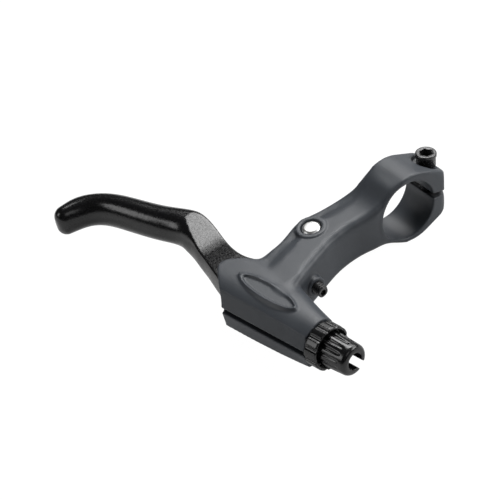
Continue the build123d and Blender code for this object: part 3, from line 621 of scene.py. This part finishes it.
# Clamp bolt: a black socket-head bolt that leans back beside the bar and draws the split clamp together.
# Its head is turned with a fine step under the rim, and stands in a spot face on the clamp's ear.
BOLT_TILT = radians(9.5)
BOLT_R = 2.5 * MM
BOLT_LENGTH = 16.5 * MM
BOLT_SEAT = 8.9 * MM
BOLT_OFFSET = 14.0 * MM
BOLT_PITCH = 0.8 * MM
BOLT_THREAD = 0.4 * MM
BOLT_THREADED = 0.6  # of its length
BOLT_HEAD_R = 3.7 * MM
BOLT_HEAD_HEIGHT = 4.9 * MM
BOLT_RIM = 1.26 * MM  # from the top down to the step
BOLT_STEP = 0.3 * MM
BOLT_STEP_RISE = 0.24 * MM
BOLT_EDGE = 0.5 * MM
BOLT_EDGE_STEPS = 6
BOLT_HEX = 4.0 * MM
BOLT_HEX_DEPTH = 2.6 * MM

bolt_top = BOLT_LENGTH + BOLT_HEAD_HEIGHT
bolt_rim = bolt_top - BOLT_RIM
bolt_profile = [(0, 0), (BOLT_R - BOLT_STEP, 0)]
bolt_profile += shank_rows(BOLT_R, BOLT_STEP, BOLT_LENGTH, BOLT_PITCH)
bolt_profile += [
    (BOLT_HEAD_R - BOLT_STEP, BOLT_LENGTH),
    (BOLT_HEAD_R - BOLT_STEP, bolt_rim - BOLT_STEP_RISE),
    (BOLT_HEAD_R - BOLT_STEP / 3, bolt_rim - BOLT_STEP_RISE / 2),
    (BOLT_HEAD_R, bolt_rim),
    (BOLT_HEAD_R, bolt_top - BOLT_EDGE),
]
for step in range(1, BOLT_EDGE_STEPS + 1):
    turn = step / BOLT_EDGE_STEPS * pi / 2
    bolt_profile.append((BOLT_HEAD_R - BOLT_EDGE * (1 - cos(turn)), bolt_top - BOLT_EDGE * (1 - sin(turn))))
bolt = socketed("clamp_bolt_turned", bolt_profile, BOLT_HEX, BOLT_HEX_DEPTH)
threaded(
    bolt,
    thread,
    Pitch=BOLT_PITCH,
    Depth=BOLT_THREAD,
    Start=BOLT_STEP,
    End=BOLT_LENGTH * BOLT_THREADED,
    Finish=oxide,
)
leaning = Matrix.Rotation(-BOLT_TILT, 4, "X")
bolt.data.transform(leaning @ Matrix.Translation((0, BOLT_OFFSET, BOLT_SEAT - BOLT_LENGTH)))
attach(bolt, "perch")
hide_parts("clamp_bolt")

# Barrel and lock ring: the slotted adjuster that the cable housing seats in, and the ring that locks it.
# Both are moulded in a glossy black plastic, with soft ridges and a slot that lets the cable in sideways.
BARREL_GRAIN = 0.12 * MM
BARREL_EASE = 22
RING_GRAIN = 0.13 * MM
RING_EASE = 10
GLOSS_BLACK = (0.007, 0.007, 0.0075, 1)
GLOSS_FLOW = 0.7 * MM
GLOSS_SHEEN = (0.18, 0.28)
GLOSS_DEPTH = 0.03 * MM
GLOSS_STRENGTH = 0.06


def moulded_black():
    finish = Finish("moulded_black", GLOSS_BLACK)
    flow = finish.speckle(GLOSS_FLOW)
    finish.sheen(flow, *GLOSS_SHEEN)
    finish.skin(flow, GLOSS_DEPTH, GLOSS_STRENGTH)
    return finish.material


gloss = moulded_black()
barrel_axis = frame["joints"][1]["axis"]
barrel_lie = atan2(barrel_axis[1], barrel_axis[0])
for node, body, name, grain, passes in (
    ("barrel_adjuster", "barrel", "barrel_moulding", BARREL_GRAIN, BARREL_EASE),
    ("lock_ring", "lock_ring", "lock_ring_moulding", RING_GRAIN, RING_EASE),
):
    moulding = softened(node, name, grain, passes, lie=barrel_lie)
    moulding.data.materials.append(gloss)
    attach(moulding, body)
    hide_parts(node)

# Floor: a plain pale sheet under the part, which keeps a faint shadow.
# It glows for the camera, and more faintly in reflections, so it looks white without lighting the part more.
FLOOR_HALF = 4.0  # metres
FLOOR_DROP = 0.2 * MM
FLOOR_WHITE = (0.72, 0.72, 0.72, 1)
FLOOR_GLOW = 1.1
FLOOR_GLOW_SHARE = 0.9
FLOOR_IN_GLOSS = 0.35


def white_floor():
    material = bpy.data.materials.new("white_floor")
    material.use_nodes = True
    tree = material.node_tree
    tree.nodes.clear()
    paths = tree.nodes.new("ShaderNodeLightPath")
    seen = paths.outputs["Is Camera Ray"]
    for other in ("Is Glossy Ray", "Is Transmission Ray"):
        either = tree.nodes.new("ShaderNodeMath")
        either.operation = "MULTIPLY_ADD"
        either.use_clamp = True
        tree.links.new(paths.outputs[other], either.inputs[0])
        either.inputs[1].default_value = FLOOR_IN_GLOSS
        tree.links.new(seen, either.inputs[2])
        seen = either.outputs["Value"]
    share = tree.nodes.new("ShaderNodeMath")
    share.operation = "MULTIPLY"
    tree.links.new(seen, share.inputs[0])
    share.inputs[1].default_value = FLOOR_GLOW_SHARE
    matt = tree.nodes.new("ShaderNodeBsdfDiffuse")
    matt.inputs["Color"].default_value = FLOOR_WHITE
    glow = tree.nodes.new("ShaderNodeEmission")
    glow.inputs["Strength"].default_value = FLOOR_GLOW
    mixed = tree.nodes.new("ShaderNodeMixShader")
    tree.links.new(share.outputs["Value"], mixed.inputs["Fac"])
    tree.links.new(matt.outputs["BSDF"], mixed.inputs[1])
    tree.links.new(glow.outputs["Emission"], mixed.inputs[2])
    out = tree.nodes.new("ShaderNodeOutputMaterial")
    tree.links.new(mixed.outputs["Shader"], out.inputs["Surface"])
    return material


floor_z = cad_box[0][2] - FLOOR_DROP
floor_mesh = bpy.data.meshes.new("floor")
corners = [(x * FLOOR_HALF, y * FLOOR_HALF, floor_z) for x, y in ((-1, -1), (1, -1), (1, 1), (-1, 1))]
floor_mesh.from_pydata(corners, [], [(0, 1, 2, 3)])
floor_mesh.materials.append(white_floor())
floor = placed("floor", floor_mesh)

# Studio: a camera where the photograph was taken, three soft boxes behind and beside the part, and two
# weak cards. The left box is seen in the crank's rising face but not in its flat end, and the front card
# in the grip.
AIM = Vector((-19.12, -48.34, 0.154)) * MM
CAMERA_RIGHT = Vector((0.6057, 0.7746, -0.1820))
CAMERA_UP = Vector((-0.4444, 0.5191, 0.7301))
CAMERA_BACK = Vector((0.6600, -0.3613, 0.6587))
CAMERA_DISTANCE = 1.0  # metres, as the lamps' distance is
CAMERA_LENS = 213.7
CAMERA_SENSOR = 36.0
LAMP_DISTANCE = 1.3
# The way to each lamp from the part, its width and height in metres, and its power in watts
LAMPS = [
    ("back_box", (-0.2695, 0.7405, 0.616), (1.15, 0.75), 9.5),
    ("left_box", (-0.409, 0.44, 0.80), (0.56, 0.5), 7.5),
    ("right_box", (0.44, 0.76, 0.47), (0.8, 0.5), 8.0),
    ("front_card", (-0.35, -0.79, 0.50), (0.45, 0.6), 2.8),
    ("right_card", (0.69, -0.01, 0.69), (0.5, 0.5), 0.9),
]
AMBIENT = (0.04, 0.04, 0.04, 1)

camera = placed("camera", bpy.data.cameras.new("camera"))
camera.data.lens = CAMERA_LENS
camera.data.sensor_width = CAMERA_SENSOR
axes = Matrix((CAMERA_RIGHT, CAMERA_UP, CAMERA_BACK)).transposed().to_4x4()
camera.matrix_world = Matrix.Translation(AIM + CAMERA_BACK * CAMERA_DISTANCE) @ axes
bpy.context.scene.camera = camera

for name, towards, size, power in LAMPS:
    lamp = bpy.data.lights.new(name, "AREA")
    lamp.shape = "RECTANGLE"
    lamp.size, lamp.size_y = size
    lamp.energy = power
    stand = placed(name, lamp)
    direction = Vector(towards).normalized()
    stand.location = AIM + direction * LAMP_DISTANCE
    stand.rotation_euler = direction.to_track_quat("Z", "Y").to_euler()

world = bpy.data.worlds.new("studio")
world.use_nodes = True
world.node_tree.nodes["Background"].inputs["Color"].default_value = AMBIENT
bpy.context.scene.world = world
bpy.context.scene.view_settings.view_transform = "Standard"
